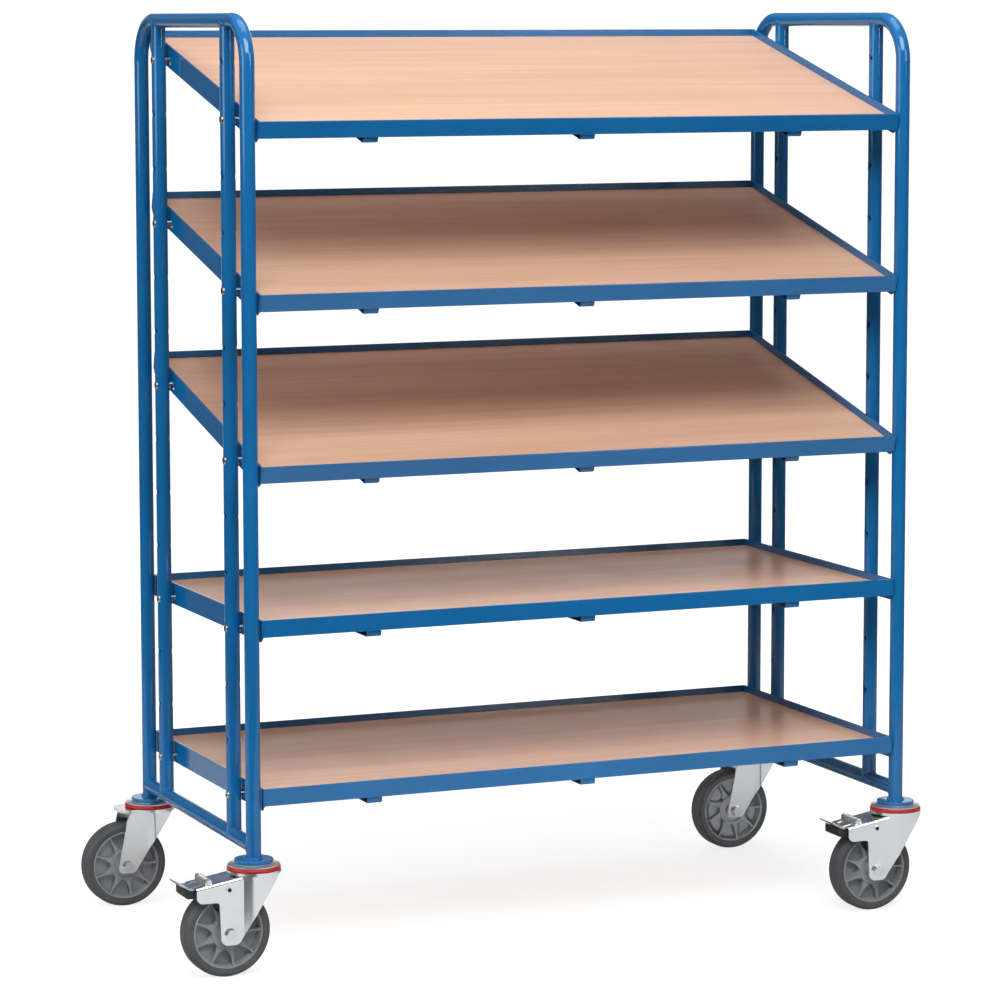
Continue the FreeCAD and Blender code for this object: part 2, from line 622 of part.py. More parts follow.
# axle bolt, axle nut and bearing sleeve
axle_shank = cyl("axle_shank", D["axle_dia"] / 2, fork_out + D["axle_nut"] + 4, ax, -half_out - 1, axle_z, TO_Y)
axle_hex = hexagon("axle_hex", D["axle_flat"], D["axle_head"], ax, -half_out - 0.1 - D["axle_head"], axle_z, TO_Y)
axle_round = cyl("axle_round", D["axle_flat"] / 2 * 1.09, D["axle_head"] + 2, ax, -half_out - D["axle_head"] - 1, axle_z, TO_Y)
axle_head_trim = common("axle_head_trim", [axle_hex, axle_round])
axle_bolt = fuse("axle_bolt", [axle_head_trim, axle_shank])
axle_nut_hex = hexagon("axle_nut_hex", D["axle_flat"], D["axle_nut"], ax, half_out + 0.1, axle_z, TO_Y)
axle_nut_hole = cyl("axle_nut_hole", D["axle_dia"] / 2 + 0.1, 40, ax, half_out - 10, axle_z, TO_Y)
axle_nut = cut("axle_nut_form", axle_nut_hex, [axle_nut_hole])
sleeve_block = cyl("sleeve_block", D["sleeve_dia"] / 2, inner - 0.2, ax, -inner / 2 + 0.1, axle_z, TO_Y)
sleeve_hole = cyl("sleeve_hole", D["axle_dia"] / 2 + 0.1, 80, ax, -40, axle_z, TO_Y)
sleeve = cut("sleeve_form", sleeve_block, [sleeve_hole])

# wheel centre: hub, web, nine flared spokes and rim, about the local y axis
rim_b = body("rim_form")
s = sketch(rim_b, "rim_section", "XY_Plane")
hb = D["sleeve_dia"] / 2 + D["sleeve_clear"]
hl, hr_, rr, rw = D["hub_long"] / 2, D["hub_ring_dia"] / 2, D["rim_dia"] / 2, D["rim_wide"] / 2
outline(s, [
    (hb, -hl), (15, -hl), (16, -hl + 1), (17, -17), (23.5, -17), (24.5, -18.2), (hr_ - 0.8, -18.2), (hr_, -17.2), (hr_ + 1.5, -3.2),
    (57, -3.2), (60.5, -15), (61.2, -rw), (rr - 0.6, -rw), (rr, -rw + 0.8),
    (rr, rw - 0.8), (rr - 0.6, rw), (61.2, rw), (60.5, 15), (57, 3.2),
    (hr_ + 1.5, 3.2), (hr_, 17.2), (hr_ - 0.8, 18.2), (24.5, 18.2), (23.5, 17), (17, 17), (16, hl - 1), (15, hl), (hb, hl)])
revolve(rim_b, s, "rim_turn")
doc.recompute()
s = sketch(rim_b, "spoke_section", "XZ_Plane")
flare = [(27.5, 9.0), (31.5, 6.3), (36.0, 4.2), (42.0, 2.5), (49.0, 1.6), (56.0, 1.5), (61.0, 2.6)]
outline(s, [(x, -y) for x, y in flare] + [(x, y) for x, y in reversed(flare)])
spoke = pad(rim_b, s, 31.6, "spoke_pad", both=True)
doc.recompute()
star = rim_b.newObject("PartDesign::PolarPattern", "spoke_star")
star.Originals = [spoke]
star.Axis = (plane(rim_b, "Y_Axis"), [""])
star.Angle = 360
star.Occurrences = int(D["spoke_count"].n)
rim_b.Tip = star

tyre_b = body("tyre_form")
s = sketch(tyre_b, "tyre_section", "XY_Plane")
tw = D["wheel_wide"] / 2
ti, to = D["tyre_in"].n, wheel_r.n
w = tw.n
soft_outline(s, [
    (ti, -w + 1.4, 0), (ti + 1.6, -w + 0.6, 0.5), (73.4, -w, 0.4), (73.9, -w + 0.7, 0.3), (76.6, -w + 2.6, 3), (to, -w + 8.5, 6),
    (to, w - 8.5, 6), (76.6, w - 2.6, 3), (73.9, w - 0.7, 0.3), (73.4, w, 0.4), (ti + 1.6, w - 0.6, 0.5), (ti, w - 1.4, 0)])
revolve(tyre_b, s, "tyre_turn")

# brake pedal on its pin, with a raised edge and gripping teeth, and the brake
# block under it
ped = body("pedal_form")
s = sketch(ped, "pedal_section", "XZ_Plane")
soft_outline(s, [
    (-94.0, 171.9, 0), (-106.5, 169.1, 6), (-124.5, 165.0, 9), (-146.7, 176.4, 0.4), (-147.7, 174.4, 0.4),
    (-124.5, 162.4, 11), (-106.5, 166.5, 8), (-94.0, 169.4, 0)])
pad(ped, s, D["pedal_wide"], "pedal_pad", both=True)
s = sketch(ped, "pedal_barrel", "XZ_Plane")
ring(s, -D["pin_back"], D["pin_high"], D["barrel_dia"] / 2)
pad(ped, s, D["pedal_wide"], "pedal_barrel_pad", both=True)
doc.recompute()
s = sketch(ped, "pedal_edge", "XZ_Plane")
soft_outline(s, [(-100.5, 170.0, 0), (-120.0, 165.6, 0), (-120.2, 166.9, 0.4), (-100.7, 171.3, 0.4)])
pad(ped, s, 36, "pedal_edge_pad", both=True)
doc.recompute()
s = sketch(ped, "pedal_dip", "XZ_Plane")
outline(s, [(-100.0, 170.2), (-116.9, 166.4), (-116.9, 172.0), (-100.0, 172.0)])
pocket(ped, s, 29.0, "pedal_dip_cut")
doc.recompute()
s = sketch(ped, "pedal_bore", "XZ_Plane")
ring(s, -D["pin_back"], D["pin_high"], D["pin_dia"] / 2 + D["pin_clear"])
pocket(ped, s, 120, "pedal_bore_cut")
teeth = [box("pedal_tooth_%d" % i, -126.5, -23.6 + 4.5 * i, 164.2, -122.7, -21.4 + 4.5 * i, 166.7) for i in range(11)]
pedal = fuse("pedal_whole", [ped] + teeth)

blk = body("brake_block_form")
s = sketch(blk, "brake_block_section", "XZ_Plane")
soft_outline(s, [(-111.0, 165.1, 0), (-121.5, 162.5, 0), (-128.0, 163.2, 0), (-136.0, 167.3, 2), (-136.0, 148.4, 7), (-111.0, 147.6, 1.5)])
pad(blk, s, D["pedal_wide"] - 2, "brake_block_pad", both=True)
block_trim = cut("brake_block_trim", blk, [group("brake_block_wheel", [cyl("brake_block_sweep", wheel_r + 8.3, 80, ax, -40, axle_z, TO_Y)])])

pin_shank = cyl("pin_shank", D["pin_dia"] / 2, D["pedal_wide"] + 8.4, -D["pin_back"], -D["pedal_wide"] / 2 - 4.2, D["pin_high"], TO_Y)
pin_ends = [cyl("pin_head_f", D["pin_head"] / 2, 1.6, -D["pin_back"], -D["pedal_wide"] / 2 - 5.0, D["pin_high"], TO_Y), cyl("pin_head_b", D["pin_head"] / 2, 1.6, -D["pin_back"], D["pedal_wide"] / 2 + 3.4, D["pin_high"], TO_Y)]
pedal_pin = fuse("pin_form", [pin_shank] + pin_ends)
doc.recompute()

# ------------------------------------------------------------------- assembly
NODES = []
sx = D["shift_x"].n
fx, ly, uy = D["frame_half"].n, D["leg_half"].n, D["upright_half"].n


def put(source, x=0.0, y=0.0, z=0.0, turn=None, name=None):
    g = group(name or source.Name + "_at", [source])
    g.Placement = Placement(Vector(x + sx, y, z), turn or Rotation())
    return g


def node(name, items):
    if len(items) == 1:
        items[0].Label = name
        NODES.append((name, items[0]))
    else:
        NODES.append((name, group(name, items)))
    NODES[-1][1].Label = name


HALF = Rotation(Vector(0, 0, 1), 180)
for side, x in (("left", -fx), ("right", fx)):
    node(side + "_end_hoop", [put(hoop, x)])
    node(side + "_front_upright", [put(upright, x, -uy)])
    node(side + "_rear_upright", [put(upright, x, uy)])
    node(side + "_bottom_rail", [put(rail, x)])
CORNERS = [("front_left", -fx, -ly), ("front_right", fx, -ly), ("rear_left", -fx, ly), ("rear_right", fx, ly)]
node("castor_mount_discs", [put(disc, x, y) for _, x, y in CORNERS])
node("leg_thread_plugs", [put(plug, x, y) for _, x, y in CORNERS])

# shelves from the top: (hole of the front bolts, hole of the rear bolts)
# counted upwards from the lowest hole of the row
FIXED = [(12, 13), (9, 10), (6, 7), (3, 3), (0, 0)]
run = 2 * uy
bolt_at, nut_at, spacer_at = [], [], []
for i, (front, rear) in enumerate(FIXED, start=1):
    z = D["hole_low"].n + D["hole_pitch"].n * front
    rise = D["hole_pitch"].n * (rear - front)
    slope = math.degrees(math.atan2(rise, run))
    turn = Rotation(Vector(1, 0, 0), slope)
    for word, items in (("rim", rim_set), ("board", [board]), ("bearers", bearer_set)):
        node("shelf_%d_%s" % (i, word), [put(o, 0, -uy, z, turn) for o in items])
    for y, zz in ((-uy, z), (uy, z + rise)):
        for x, face in ((-fx, Rotation()), (fx, HALF)):
            bolt_at.append(put(bolt, x, y, zz, face))
            nut_at.append(put(nut, x, y, zz, face))
            spacer_at.append(put(spacer, x, y, zz, face))
node("shelf_bolts", bolt_at)
node("shelf_nuts", nut_at)
node("shelf_spacers", spacer_at)

node("castor_head_plates", [put(head, x, y) for _, x, y in CORNERS])
node("castor_seal_rings", [put(seal, x, y) for _, x, y in CORNERS])
node("castor_ball_races", [put(race, x, y) for _, x, y in CORNERS])
node("castor_king_bolts", [put(king, x, y) for _, x, y in CORNERS])
for name, x, y in CORNERS:
    braked = name.startswith("front")
    node(name + "_fork", [put(fork_brake if braked else fork_plain, x, y)])
    node(name + "_axle", [put(axle_bolt, x, y), put(axle_nut, x, y)])
    node(name + "_sleeve", [put(sleeve, x, y)])
    node(name + "_wheel_rim", [put(rim_b, x + ax.n, y, axle_z.n)])
    node(name + "_tyre", [put(tyre_b, x + ax.n, y, axle_z.n)])
    if braked:
        node(name + "_pedal", [put(pedal, x, y)])
        node(name + "_brake_block", [put(block_trim, x, y)])
        node(name + "_pedal_pin", [put(pedal_pin, x, y)])

doc.recompute()

faults = []
for obj in doc.Objects:
    if any(word in obj.State for word in ("Invalid", "Error")):
        faults.append("%s: %s" % (obj.Label, obj.State))
for name, obj in NODES:
    if obj.Shape.isNull() or not obj.Shape.isValid() or not obj.Shape.Solids:
        faults.append("%s: no valid solid" % name)
if faults:
    raise RuntimeError("\n".join(faults))

os.makedirs("parts", exist_ok=True)
total = None
for name, obj in NODES:
    obj.Shape.exportStep("parts/%s.step" % name)
    b = obj.Shape.BoundBox
    total = b if total is None else total.united(b)
    print("%-24s solids %2d volume %10.1f" % (name, len(obj.Shape.Solids), obj.Shape.Volume))
print("nodes", len(NODES), "x %.2f %.2f y %.2f %.2f z %.2f %.2f" % (total.XMin, total.XMax, total.YMin, total.YMax, total.ZMin, total.ZMax))
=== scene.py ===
import json
import math

import bmesh
import bpy
from mathutils import Matrix, Vector


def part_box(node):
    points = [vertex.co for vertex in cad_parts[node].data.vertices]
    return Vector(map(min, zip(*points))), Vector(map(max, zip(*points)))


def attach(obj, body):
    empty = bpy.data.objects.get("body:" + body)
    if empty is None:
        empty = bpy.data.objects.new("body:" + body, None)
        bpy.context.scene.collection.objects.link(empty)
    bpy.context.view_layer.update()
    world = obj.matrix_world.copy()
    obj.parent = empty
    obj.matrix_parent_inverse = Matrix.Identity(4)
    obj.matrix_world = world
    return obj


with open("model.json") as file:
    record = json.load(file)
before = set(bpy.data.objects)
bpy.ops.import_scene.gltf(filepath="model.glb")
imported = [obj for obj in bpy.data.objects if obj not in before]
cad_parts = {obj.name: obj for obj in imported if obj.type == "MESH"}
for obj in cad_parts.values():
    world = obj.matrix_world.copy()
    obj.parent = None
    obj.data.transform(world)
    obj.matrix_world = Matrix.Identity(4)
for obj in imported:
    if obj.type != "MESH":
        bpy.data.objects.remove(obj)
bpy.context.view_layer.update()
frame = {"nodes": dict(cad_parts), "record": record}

nodes = frame["nodes"]
MM = 0.001

# ------------------------------------------------------------------ materials


class Look:
    """A procedural material: a principled shader and the textures that feed it.
    Coordinates are the piece's own, in metres in the shared frame."""

    def __init__(self, name, shift=(0.0, 0.0, 0.0)):
        self.mat = bpy.data.materials.new(name)
        self.mat.use_nodes = True
        self.tree = self.mat.node_tree
        self.tree.nodes.clear()
        out = self.new("ShaderNodeOutputMaterial")
        self.bsdf = self.new("ShaderNodeBsdfPrincipled")
        self.join(self.bsdf.outputs["BSDF"], out.inputs["Surface"])
        coords = self.new("ShaderNodeTexCoord")
        self.place = self.new("ShaderNodeMapping")
        self.place.inputs["Location"].default_value = shift
        self.join(coords.outputs["Object"], self.place.inputs["Vector"])
        self.point = self.place.outputs["Vector"]

    def new(self, kind):
        return self.tree.nodes.new(kind)

    def join(self, a, b):
        self.tree.links.new(a, b)

    def put(self, socket, value):
        """Feeds a socket of the shader with a texture or sets it."""
        target = self.bsdf.inputs[socket]
        if hasattr(value, "is_linked"):
            self.join(value, target)
        else:
            target.default_value = value

    def stretch(self, sx, sy, sz, turn=(0.0, 0.0, 0.0)):
        m = self.new("ShaderNodeMapping")
        m.inputs["Scale"].default_value = (sx, sy, sz)
        m.inputs["Rotation"].default_value = turn
        self.join(self.point, m.inputs["Vector"])
        return m.outputs["Vector"]

    def noise(self, scale, detail=2.0, rough=0.5, vector=None, twist=0.0):
        n = self.new("ShaderNodeTexNoise")
        n.inputs["Scale"].default_value = scale
        n.inputs["Detail"].default_value = detail
        n.inputs["Roughness"].default_value = rough
        n.inputs["Distortion"].default_value = twist
        self.join(vector or self.point, n.inputs["Vector"])
        return n.outputs["Fac"]

    def cells(self, scale, vector=None, feature="F1"):
        n = self.new("ShaderNodeTexVoronoi")
        n.feature = feature
        n.inputs["Scale"].default_value = scale
        self.join(vector or self.point, n.inputs["Vector"])
        return n.outputs["Distance"]

    def ramp(self, fac, stops):
        r = self.new("ShaderNodeValToRGB")
        band = r.color_ramp
        while len(band.elements) < len(stops):
            band.elements.new(0.5)
        for e, (at, colour) in zip(band.elements, stops):
            e.position = at
            e.color = (colour[0], colour[1], colour[2], 1.0) if hasattr(colour, "__len__") else (colour, colour, colour, 1.0)
        self.join(fac, r.inputs["Fac"])
        return r.outputs["Color"]

    def span(self, fac, low, high, from_low=0.0, from_high=1.0):
        r = self.new("ShaderNodeMapRange")
        r.inputs["From Min"].default_value = from_low
        r.inputs["From Max"].default_value = from_high
        r.inputs["To Min"].default_value = low
        r.inputs["To Max"].default_value = high
        self.join(fac, r.inputs["Value"])
        return r.outputs["Result"]

    def mix(self, fac, a, b, blend="MIX"):
        m = self.new("ShaderNodeMix")
        m.data_type = "RGBA"
        m.blend_type = blend
        for socket, value in ((m.inputs["Factor"], fac), (m.inputs[6], a), (m.inputs[7], b)):
            if hasattr(value, "is_linked"):
                self.join(value, socket)
            elif hasattr(value, "__len__"):
                socket.default_value = (value[0], value[1], value[2], 1.0)
            else:
                socket.default_value = value
        return m.outputs[2]

    def sums(self, op, a, b):
        m = self.new("ShaderNodeMath")
        m.operation = op
        for socket, value in ((m.inputs[0], a), (m.inputs[1], b)):
            if hasattr(value, "is_linked"):
                self.join(value, socket)
            else:
                socket.default_value = value
        return m.outputs["Value"]

    def bump(self, height, strength, distance, under=None):
        b = self.new("ShaderNodeBump")
        b.inputs["Strength"].default_value = strength
        b.inputs["Distance"].default_value = distance
        self.join(height, b.inputs["Height"])
        if under is not None:
            self.join(under, b.inputs["Normal"])
        return b.outputs["Normal"]


def shade(r, g, b):
    """Display colour 0-255 to scene-linear."""
    def one(v):
        v /= 255.0
        return v / 12.92 if v <= 0.04045 else ((v + 0.055) / 1.055) ** 2.4
    return (one(r), one(g), one(b))


def powder_coat(name, shift):
    """Brilliant blue powder coat: fine orange peel, slow drift of colour, a
    few pale rubbed hairlines."""
    m = Look(name, shift)
    drift = m.noise(5.0, 3.0, 0.55)
    colour = m.ramp(drift, [(0.25, shade(16, 101, 160)), (0.55, shade(19, 107, 168)), (0.8, shade(24, 113, 174))])
    grit = m.noise(900.0, 2.0, 0.6)
    colour = m.mix(m.span(grit, 0.0, 0.10, 0.55, 0.8), colour, shade(44, 122, 180))
    rubs = m.noise(1.0, 3.0, 0.7, m.stretch(30.0, 30.0, 260.0, (0.5, 0.3, 0.0)))
    worn = m.span(rubs, 0.0, 0.16, 0.72, 0.80)
    colour = m.mix(worn, colour, shade(84, 138, 182))
    m.put("Base Color", colour)
    m.put("Roughness", m.sums("ADD", m.span(m.noise(14.0, 4.0, 0.6), 0.07, 0.14), m.sums("MULTIPLY", worn, 0.7)))
    peel = m.noise(420.0, 1.5, 0.45)
    wave = m.noise(110.0, 1.0, 0.4)
    m.put("Normal", m.bump(peel, 0.06, 0.0005, m.bump(wave, 0.025, 0.0015)))
    m.put("Specular IOR Level", 0.45)
    m.put("Coat Weight", 0.2)
    m.put("Coat Roughness", 0.06)
    return m.mat


def beech(name, shift):
    """Satin beech decor: grain along X with slow bands, fine streaks and
    short dark rays."""
    m = Look(name, shift)
    bands = m.noise(1.0, 3.0, 0.55, m.stretch(0.55, 7.0, 7.0), 0.6)
    streaks = m.noise(1.0, 5.0, 0.62, m.stretch(1.3, 60.0, 60.0), 0.35)
    hairs = m.noise(1.0, 3.0, 0.6, m.stretch(5.0, 520.0, 520.0))
    rays = m.noise(1.0, 2.0, 0.5, m.stretch(120.0, 900.0, 900.0))
    colour = m.ramp(bands, [(0.25, shade(218, 174, 146)), (0.5, shade(228, 186, 159)), (0.78, shade(235, 194, 168))])
    colour = m.mix(m.span(streaks, 0.0, 0.72, 0.42, 0.72), colour, shade(211, 163, 134))
    colour = m.mix(m.span(hairs, 0.0, 0.28, 0.5, 0.8), colour, shade(197, 148, 120))
    colour = m.mix(m.span(rays, 0.0, 0.45, 0.62, 0.72), colour, shade(176, 126, 99))
    m.put("Base Color", colour)
    m.put("Roughness", m.sums("ADD", m.span(m.noise(9.0, 4.0, 0.6), 0.30, 0.42), m.span(hairs, -0.03, 0.05)))
    m.put("Normal", m.bump(hairs, 0.05, 0.0004, m.bump(rays, 0.05, 0.0003)))
    m.put("Specular IOR Level", 0.5)
    return m.mat


def zinc(name, shift, tone=1.0, dull=0.0):
    """Bright zinc plate on pressed steel: cloudy grey, faint rolling lines,
    small dull spots."""
    m = Look(name, shift)
    cloud = m.noise(24.0, 4.0, 0.6)
    colour = m.ramp(cloud, [(0.3, (0.85 * tone, 0.885 * tone, 0.91 * tone)), (0.55, (0.90 * tone, 0.935 * tone, 0.955 * tone)), (0.8, (0.94 * tone, 0.96 * tone, 0.97 * tone))])
    spots = m.span(m.noise(120.0, 3.0, 0.6), 0.0, 0.30, 0.62, 0.80)
    colour = m.mix(spots, colour, (0.70 * tone, 0.715 * tone, 0.73 * tone))
    m.put("Base Color", colour)
    m.put("Metallic", 1.0)
    lines = m.noise(1.0, 3.0, 0.6, m.stretch(60.0, 60.0, 900.0, (0.2, 0.4, 0.0)))
    m.put("Roughness", m.sums("ADD", m.span(cloud, 0.14 + dull, 0.25 + dull), m.span(lines, -0.02, 0.04)))
    m.put("Normal", m.bump(m.noise(90.0, 2.0, 0.5), 0.010, 0.0006, m.bump(lines, 0.005, 0.0004)))
    return m.mat


def wheel_plastic(name, shift):
    m = Look(name, shift)
    drift = m.noise(18.0, 3.0, 0.6)
    colour = m.ramp(drift, [(0.3, shade(126, 130, 134)), (0.7, shade(141, 145, 149))])
    dust = m.span(m.noise(60.0, 5.0, 0.65), 0.0, 0.22, 0.5, 0.8)
    m.put("Base Color", m.mix(dust, colour, shade(158, 158, 156)))
    m.put("Roughness", m.span(m.noise(40.0, 4.0, 0.6), 0.38, 0.56))
    m.put("Normal", m.bump(m.noise(750.0, 2.0, 0.5), 0.09, 0.0004))
    m.put("Specular IOR Level", 0.45)
    return m.mat


def tyre_rubber(name, shift):
    m = Look(name, shift)
    drift = m.noise(14.0, 4.0, 0.6)
    colour = m.ramp(drift, [(0.3, shade(66, 68, 71)), (0.7, shade(80, 82, 85))])
    dust = m.span(m.noise(120.0, 5.0, 0.7), 0.0, 0.28, 0.52, 0.8)
    m.put("Base Color", m.mix(dust, colour, shade(112, 112, 110)))
    m.put("Roughness", m.span(m.noise(55.0, 4.0, 0.65), 0.52, 0.74))
    m.put("Normal", m.bump(m.noise(900.0, 3.0, 0.6), 0.14, 0.0005, m.bump(m.noise(45.0, 3.0, 0.6), 0.05, 0.0012)))
    m.put("Specular IOR Level", 0.4)
    return m.mat


def red_plastic(name, shift):
    m = Look(name, shift)
    colour = m.ramp(m.noise(30.0, 3.0, 0.6), [(0.3, shade(186, 22, 24)), (0.7, shade(206, 34, 34))])
    m.put("Base Color", colour)
    m.put("Roughness", m.span(m.noise(70.0, 4.0, 0.6), 0.30, 0.46))
    m.put("Normal", m.bump(m.noise(800.0, 2.0, 0.5), 0.06, 0.0004))
    return m.mat


def black_plastic(name, shift):
    m = Look(name, shift)
    colour = m.ramp(m.noise(60.0, 4.0, 0.6), [(0.3, shade(22, 22, 23)), (0.75, shade(40, 40, 41))])
    m.put("Base Color", colour)
    m.put("Roughness", m.span(m.noise(90.0, 4.0, 0.6), 0.5, 0.7))
    m.put("Normal", m.bump(m.noise(700.0, 3.0, 0.6), 0.15, 0.0005))
    return m.mat


BLUE = powder_coat("blue_powder_coat", (0.0, 0.0, 0.0))
ZINC = zinc("zinc_plate", (0.3, 0.1, 0.2))
# fasteners: the zinc at about half brightness, a darkened copy whose colour holds painted shade standing in for dim
# reflections on bolt heads, nuts and spacers
ZINC_BOLT_PAINTED_SHADE = zinc("zinc_fasteners_painted_shade", (0.7, 0.2, 0.4), 0.52, 0.06)
ZINC_AXLE = zinc("zinc_axles", (0.1, 0.8, 0.3), 0.90, -0.03)
# pedals: the zinc darkened to 0.7, a copy whose colour holds painted shade standing in for the dark surroundings the
# pedal tops reflect
ZINC_PEDAL_PAINTED_SHADE = zinc("zinc_pedals_painted_shade", (0.6, 0.3, 0.8), 0.70, 0.08)
ZINC_HEAD = zinc("zinc_swivel_heads", (0.2, 0.9, 0.6), 0.90, 0.12)
ZINC_SPRING = zinc("zinc_spring_wire", (0.5, 0.6, 0.1), 0.50, 0.09)
GREY = wheel_plastic("wheel_centre_grey", (0.1, 0.5, 0.2))
TYRE = tyre_rubber("tyre_grey", (0.4, 0.2, 0.9))
RED = red_plastic("seal_red", (0.2, 0.7, 0.1))
BLACK = black_plastic("brake_block_black", (0.9, 0.1, 0.3))

BY_SLOT = {"blue_coat": BLUE, "zinc_steel": ZINC, "wheel_grey": GREY, "tyre_grey": TYRE, "red_seal": RED, "black_block": BLACK}
slot_of = {s["node"]: s["material_slot"] for s in frame["record"]["subparts"]}


def dress(obj, mat):
    obj.data.materials.clear()
    obj.data.materials.append(mat)


for name, obj in nodes.items():
    slot = slot_of[name]
    if slot == "beech_board":
        k = int(name.split("_")[1])
        dress(obj, beech("beech_decor_%d" % k, (1.7 * k, 0.37 * k, 0.21 * k)))
    elif name in ("shelf_bolts", "shelf_nuts", "shelf_spacers"):
        # bolts, nuts and spacers take the darkened zinc copy with painted shade
        dress(obj, ZINC_BOLT_PAINTED_SHADE)
    elif name.endswith(("_axle", "_pedal_pin")):
        dress(obj, ZINC_AXLE)
    elif name == "castor_head_plates":
        dress(obj, ZINC_HEAD)
    elif name.endswith("_pedal"):
        # pedals take the darkened zinc copy with painted shade
        dress(obj, ZINC_PEDAL_PAINTED_SHADE)
    else:
        dress(obj, BY_SLOT[slot])

# ------------------------------------------------------ weld seams and springs


def sweep(bm, path, radii, ring=8, closed=False):
    """Round section carried along a path, capped at its ends or closed."""
    count = len(path)
    rows = []
    u = None
    for i, c in enumerate(path):
        a = path[(i - 1) % count] if closed or i > 0 else c
        b = path[(i + 1) % count] if closed or i < count - 1 else c
        t = (b - a).normalized()
        if u is None:
            u = Vector((0.0, 0.0, 1.0)) if abs(t.z) < 0.8 else Vector((1.0, 0.0, 0.0))
        u = (u - t * u.dot(t)).normalized()
        v = t.cross(u)
        rows.append([bm.verts.new(c + (u * math.cos(q) + v * math.sin(q)) * radii[i]) for q in (2.0 * math.pi * j / ring for j in range(ring))])
    made = []

    def skin(one, two, turn=0):
        for j in range(ring):
            made.append(bm.faces.new((one[j], one[(j + 1) % ring], two[(j + 1 + turn) % ring], two[(j + turn) % ring])))

    for one, two in zip(rows, rows[1:]):
        skin(one, two)
    if closed:
        turn = min(range(ring), key=lambda k: sum((rows[-1][j].co - rows[0][(j + k) % ring].co).length for j in range(ring)))
        skin(rows[-1], rows[0], turn)
    else:
        made.append(bm.faces.new(rows[0][::-1]))
        made.append(bm.faces.new(rows[-1]))
    for f in made:
        f.smooth = True


def spaced(line, step, closed):
    """Points at an even step along a dense line."""
    pts = line + [line[0]] if closed else line
    whole = sum((b - a).length for a, b in zip(pts, pts[1:]))
    n = max(4, round(whole / step))
    out, run, k = [], 0.0, 0
    for i in range(n if closed else n + 1):
        want = whole * i / n
        while k < len(pts) - 2 and run + (pts[k + 1] - pts[k]).length < want:
            run += (pts[k + 1] - pts[k]).length
            k += 1
        span = (pts[k + 1] - pts[k]).length
        out.append(pts[k].lerp(pts[k + 1], min(1.0, (want - run) / span) if span else 0.0))
    return out


def bead(bm, line, radius, closed, ripple=0.16, pitch=2.6):
    """Weld bead: a rippled round along a line, lengths in mm."""
    path = spaced([Vector(q) * MM for q in line], pitch * MM / 4.0, closed)
    beat = max(1, round(len(path) / 4.0)) / len(path)
    radii = []
    for i in range(len(path)):
        r = 1.0 + ripple * math.sin(2.0 * math.pi * beat * i) + 0.07 * math.sin(1.7 + 0.37 * i) + 0.05 * math.sin(0.6 + 0.113 * i)
        if not closed:
            r *= min(1.0, 0.35 + 0.65 * min(i, len(path) - 1 - i) / 3.0)
        radii.append(radius * MM * r)
    sweep(bm, path, radii, 8, closed)


def as_piece(bm, name, mat, body):
    bmesh.ops.recalc_face_normals(bm, faces=bm.faces)
    me = bpy.data.meshes.new(name)
    bm.to_mesh(me)
    bm.free()
    obj = bpy.data.objects.new(name, me)
    bpy.context.scene.collection.objects.link(obj)
    dress(obj, mat)
    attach(obj, body)
    return obj


def box_mm(name):
    low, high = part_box(name)
    return Vector(low) / MM, Vector(high) / MM


TURN = [2.0 * math.pi * i / 96 for i in range(96)]
disc_top = box_mm("castor_mount_discs")[1].z
end_x = {}
for side in ("left", "right"):
    seam = bmesh.new()
    low, high = box_mm(side + "_end_hoop")
    x0, tube = (low.x + high.x) / 2.0, (high.x - low.x) / 2.0
    end_x[side] = x0
    top_axis, leg_y = high.z - tube, high.y - tube
    low, high = box_mm(side + "_bottom_rail")
    rail_axis = (low.z + high.z) / 2.0
    for which in ("_front_upright", "_rear_upright"):
        low, high = box_mm(side + which)
        y0 = (low.y + high.y) / 2.0
        for axis, way in ((top_axis, -1.0), (rail_axis, 1.0)):
            line = []
            for q in TURN:
                s = math.sqrt(math.sin(q) ** 2 + 0.01)
                out = Vector((2.0 * math.cos(q), math.sin(q), way * s)).normalized()
                line.append(Vector((x0 + tube * math.cos(q), y0 + tube * math.sin(q), axis + way * tube * s)) + out * (1.1 * s - 0.8))
            bead(seam, line, 1.9, True)
    for way in (-1.0, 1.0):
        line = []
        for q in TURN:
            s = math.sqrt(math.sin(q) ** 2 + 0.01)
            out = Vector((2.0 * math.cos(q), -way * s, math.sin(q))).normalized()
            line.append(Vector((x0 + tube * math.cos(q), way * (leg_y - tube * s), rail_axis + tube * math.sin(q))) + out * (1.1 * s - 0.8))
        bead(seam, line, 1.9, True)
        line = [Vector((x0 + (tube + 0.6) * math.cos(q), way * leg_y + (tube + 0.6) * math.sin(q), disc_top + 0.6)) for q in TURN]
        bead(seam, line, 2.1, True, 0.24, 4.2)
    as_piece(seam, side + "_end_weld_seams", BLUE, "frame")

decks = {m["name"]: m for m in frame["record"]["mounts"]}
for k in range(1, 6):
    deck = decks["shelf_%d_deck" % k]
    up = Vector(deck["axis"]).normalized()
    back_way = Vector((1.0, 0.0, 0.0)).cross(up) * -1.0
    foot = Vector(deck["pos_m"]) / MM - back_way * 192.0 - up * 16.0

    def at(x, y, z):
        return foot + Vector((x, 0.0, 0.0)) + back_way * y + up * z

    seam = bmesh.new()
    for sx in (-1.0, 1.0):
        for y_bead in (-112.0, 496.0):
            bead(seam, [at(sx * 623.9, y_bead, 16.6 + 0.5 * i) for i in range(24)], 1.5, False)
        for xb in (-416.7, 0.0, 416.7):
            for y_end in (-112.4, 496.4):
                bead(seam, [at(xb + sx * 1.5 + sx * 0.5 * i, y_end, -2.4) for i in range(23)], 1.4, False)
    as_piece(seam, "shelf_%d_weld_seams" % k, BLUE, "frame")

